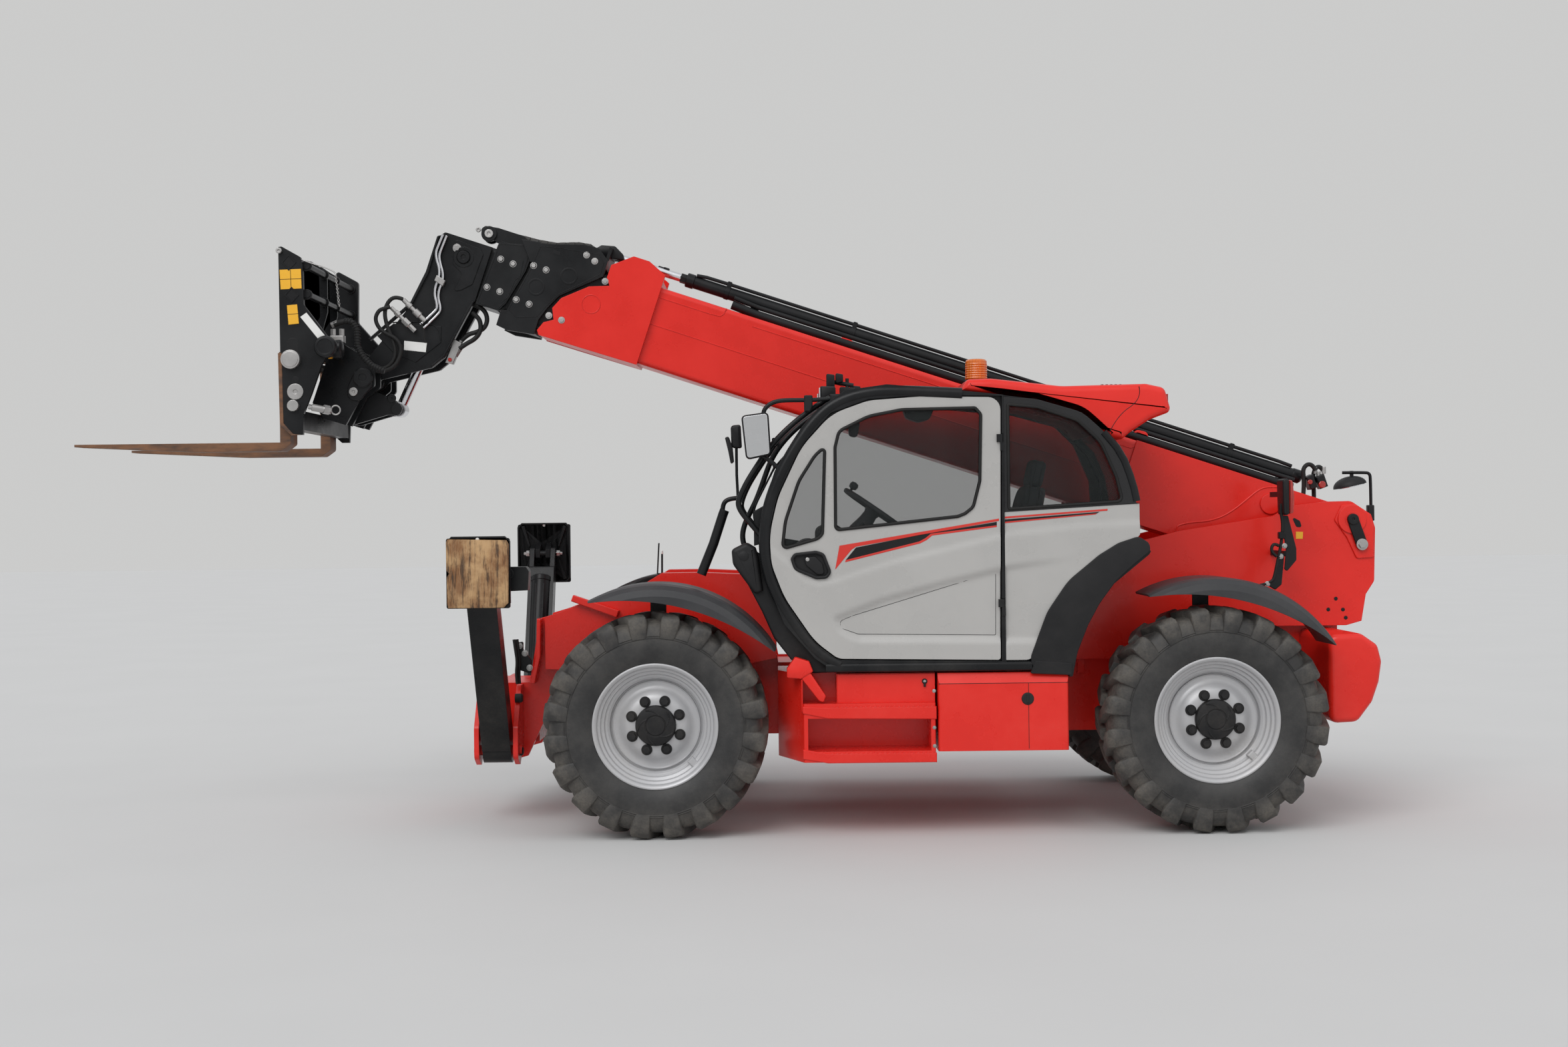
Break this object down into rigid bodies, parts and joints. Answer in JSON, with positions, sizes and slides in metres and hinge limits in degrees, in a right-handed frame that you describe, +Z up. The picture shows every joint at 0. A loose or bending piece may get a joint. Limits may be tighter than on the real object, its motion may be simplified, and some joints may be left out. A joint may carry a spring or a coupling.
{
  "type": "telescopic handler",
  "caption": "Rough-terrain telescopic handler with closed cab, sectioned boom, pallet forks, front stabilisers and steered wheels.",
  "frame": {"origin": "centre of the machine's box on the ground, between the left and right tyres", "axes": "front and forks towards -X, cab side towards -Y, +Z up"},
  "size_m": [7.838, 2.42, 3.5398],
  "materials": {
    "red_paint": "semi-gloss",
    "black_paint": "satin",
    "grey_paint": "semi-gloss",
    "black_plastic": "matte",
    "tyre": "dusty",
    "rim": "silver, satin",
    "glass": "clear, slightly tinted",
    "chrome": "polished",
    "fork_steel": "worn, rusty",
    "wood": "weathered",
    "amber": "glossy",
    "interior": "matte",
    "engine": "painted casting"
  },
  "bodies": {
    "chassis": {"chassis_frame": "red_paint", "rear_tower": "red_paint", "front_cowl": "red_paint", "counterweight": "red_paint", "side_boxes": "red_paint", "engine_block": "engine", "front_axle": "black_paint", "rear_axle": "black_paint", "cab_frame": "black_paint", "cab_panels": "grey_paint", "roof_cap": "red_paint", "cab_glass": "glass", "cab_interior": "interior", "mirrors": "black_plastic", "beacon": "amber", "lights": "black_plastic"},
    "door": {"door_shell": "grey_paint", "door_glass": "glass"},
    "hood": {"engine_hood": "red_paint"},
    "steer_front_left": {"knuckle_front_left": "black_plastic"},
    "wheel_front_left": {"rim_front_left": "rim", "tyre_front_left": "tyre"},
    "steer_front_right": {"knuckle_front_right": "black_plastic"},
    "wheel_front_right": {"rim_front_right": "rim", "tyre_front_right": "tyre"},
    "steer_rear_left": {"knuckle_rear_left": "black_plastic"},
    "wheel_rear_left": {"rim_rear_left": "rim", "tyre_rear_left": "tyre"},
    "steer_rear_right": {"knuckle_rear_right": "black_plastic"},
    "wheel_rear_right": {"rim_rear_right": "rim", "tyre_rear_right": "tyre"},
    "boom": {"boom_base": "red_paint", "telescope_barrel": "black_paint"},
    "section_1": {"boom_section_1": "black_paint", "telescope_rod": "chrome"},
    "section_2": {"boom_section_2": "black_paint"},
    "section_3": {"boom_section_3": "black_paint"},
    "lift_cylinder": {"lift_barrel": "black_paint"},
    "lift_piston": {"lift_rod": "chrome"},
    "tilt_cylinder": {"tilt_barrel": "black_paint"},
    "tilt_piston": {"tilt_rod": "chrome"},
    "carriage": {"carriage": "black_paint", "forks": "fork_steel"},
    "arm_left": {"stabiliser_arm_left": "red_paint"},
    "arm_right": {"stabiliser_arm_right": "red_paint"},
    "pad_left": {"stabiliser_pad_left": "red_paint", "pad_wood_left": "wood"},
    "pad_right": {"stabiliser_pad_right": "red_paint", "pad_wood_right": "wood"}
  },
  "joints": [
    {"name": "door_swing", "type": "hinge", "parent": "chassis", "child": "door", "pos_m": [1.37, -1.2, 1.6], "axis": [0, 0, 1], "range_deg": [0, 110]},
    {"name": "hood_lift", "type": "hinge", "parent": "chassis", "child": "hood", "pos_m": [1.199, 0.44, 1.6], "axis": [1, 0, 0], "range_deg": [0, 70]},
    {"name": "steer_front_left", "type": "hinge", "parent": "chassis", "child": "steer_front_left", "pos_m": [-0.536, -0.93, 0.62], "axis": [0, 0, 1], "range_deg": [-35, 35]},
    {"name": "roll_front_left", "type": "hinge", "parent": "steer_front_left", "child": "wheel_front_left", "pos_m": [-0.536, -1.01, 0.62], "axis": [0, 1, 0], "continuous": true},
    {"name": "steer_front_right", "type": "hinge", "parent": "chassis", "child": "steer_front_right", "pos_m": [-0.536, 0.93, 0.62], "axis": [0, 0, 1], "range_deg": [-35, 35]},
    {"name": "roll_front_right", "type": "hinge", "parent": "steer_front_right", "child": "wheel_front_right", "pos_m": [-0.536, 1.01, 0.62], "axis": [0, 1, 0], "continuous": true},
    {"name": "steer_rear_left", "type": "hinge", "parent": "chassis", "child": "steer_rear_left", "pos_m": [2.534, -0.93, 0.62], "axis": [0, 0, 1], "range_deg": [-35, 35]},
    {"name": "roll_rear_left", "type": "hinge", "parent": "steer_rear_left", "child": "wheel_rear_left", "pos_m": [2.534, -1.01, 0.62], "axis": [0, 1, 0], "continuous": true},
    {"name": "steer_rear_right", "type": "hinge", "parent": "chassis", "child": "steer_rear_right", "pos_m": [2.534, 0.93, 0.62], "axis": [0, 0, 1], "range_deg": [-35, 35]},
    {"name": "roll_rear_right", "type": "hinge", "parent": "steer_rear_right", "child": "wheel_rear_right", "pos_m": [2.534, 1.01, 0.62], "axis": [0, 1, 0], "continuous": true},
    {"name": "boom_raise", "type": "hinge", "parent": "chassis", "child": "boom", "pos_m": [3.507, 0, 1.706], "axis": [0, 1, 0], "range_deg": [-20.5, 51.5]},
    {"name": "extend_1", "type": "slide", "parent": "boom", "child": "section_1", "axis": [-0.9483, 0, 0.3173], "range_m": [0, 3.6]},
    {"name": "extend_2", "type": "slide", "parent": "section_1", "child": "section_2", "axis": [-0.9483, 0, 0.3173], "range_m": [0, 3.6]},
    {"name": "extend_3", "type": "slide", "parent": "section_2", "child": "section_3", "axis": [-0.9483, 0, 0.3173], "range_m": [0, 3.6]},
    {"name": "lift_barrel_swing", "type": "hinge", "parent": "chassis", "child": "lift_cylinder", "pos_m": [3.339, 0, 0.96], "axis": [0, 1, 0], "range_deg": [-25, 50]},
    {"name": "lift_rod_slide", "type": "slide", "parent": "lift_cylinder", "child": "lift_piston", "axis": [-0.891, 0, 0.454], "range_m": [-0.4, 0.75]},
    {"name": "fork_tilt", "type": "hinge", "parent": "section_3", "child": "carriage", "pos_m": [-2.314, 0, 2.618], "axis": [0, -1, 0], "range_deg": [-33, 100]},
    {"name": "tilt_barrel_swing", "type": "hinge", "parent": "section_3", "child": "tilt_cylinder", "pos_m": [-1.72472, 0, 3.34051], "axis": [0, 1, 0], "range_deg": [-15, 25]},
    {"name": "tilt_rod_slide", "type": "slide", "parent": "tilt_cylinder", "child": "tilt_piston", "axis": [-0.4202, 0, -0.9074], "range_m": [-0.45, 0.15]},
    {"name": "stabiliser_left", "type": "hinge", "parent": "chassis", "child": "arm_left", "pos_m": [-1.493, -0.5, 0.42], "axis": [1, 0, 0], "range_deg": [0, 76]},
    {"name": "pad_tilt_left", "type": "hinge", "parent": "arm_left", "child": "pad_left", "pos_m": [-1.493, -1.105, 1.46789], "axis": [1, 0, 0], "range_deg": [-15, 15]},
    {"name": "stabiliser_right", "type": "hinge", "parent": "chassis", "child": "arm_right", "pos_m": [-1.405, 0.5, 0.42], "axis": [-1, 0, 0], "range_deg": [0, 83]},
    {"name": "pad_tilt_right", "type": "hinge", "parent": "arm_right", "child": "pad_right", "pos_m": [-1.405, 0.97279, 1.53381], "axis": [1, 0, 0], "range_deg": [-15, 15]}
  ],
  "couplings": [
    {"joint": "steer_front_right", "follows": "steer_front_left", "ratio": 1},
    {"joint": "steer_rear_right", "follows": "steer_rear_left", "ratio": 1},
    {"joint": "extend_2", "follows": "extend_1", "ratio": 1},
    {"joint": "extend_3", "follows": "extend_1", "ratio": 1},
    {"joint": "lift_barrel_swing", "follows": "boom_raise", "ratio": 0.79823},
    {"joint": "lift_rod_slide", "follows": "boom_raise", "m_per_rad": 0.6692},
    {"joint": "tilt_barrel_swing", "follows": "fork_tilt", "ratio": 0.0496},
    {"joint": "tilt_rod_slide", "follows": "fork_tilt", "m_per_rad": -0.18671}
  ]
}
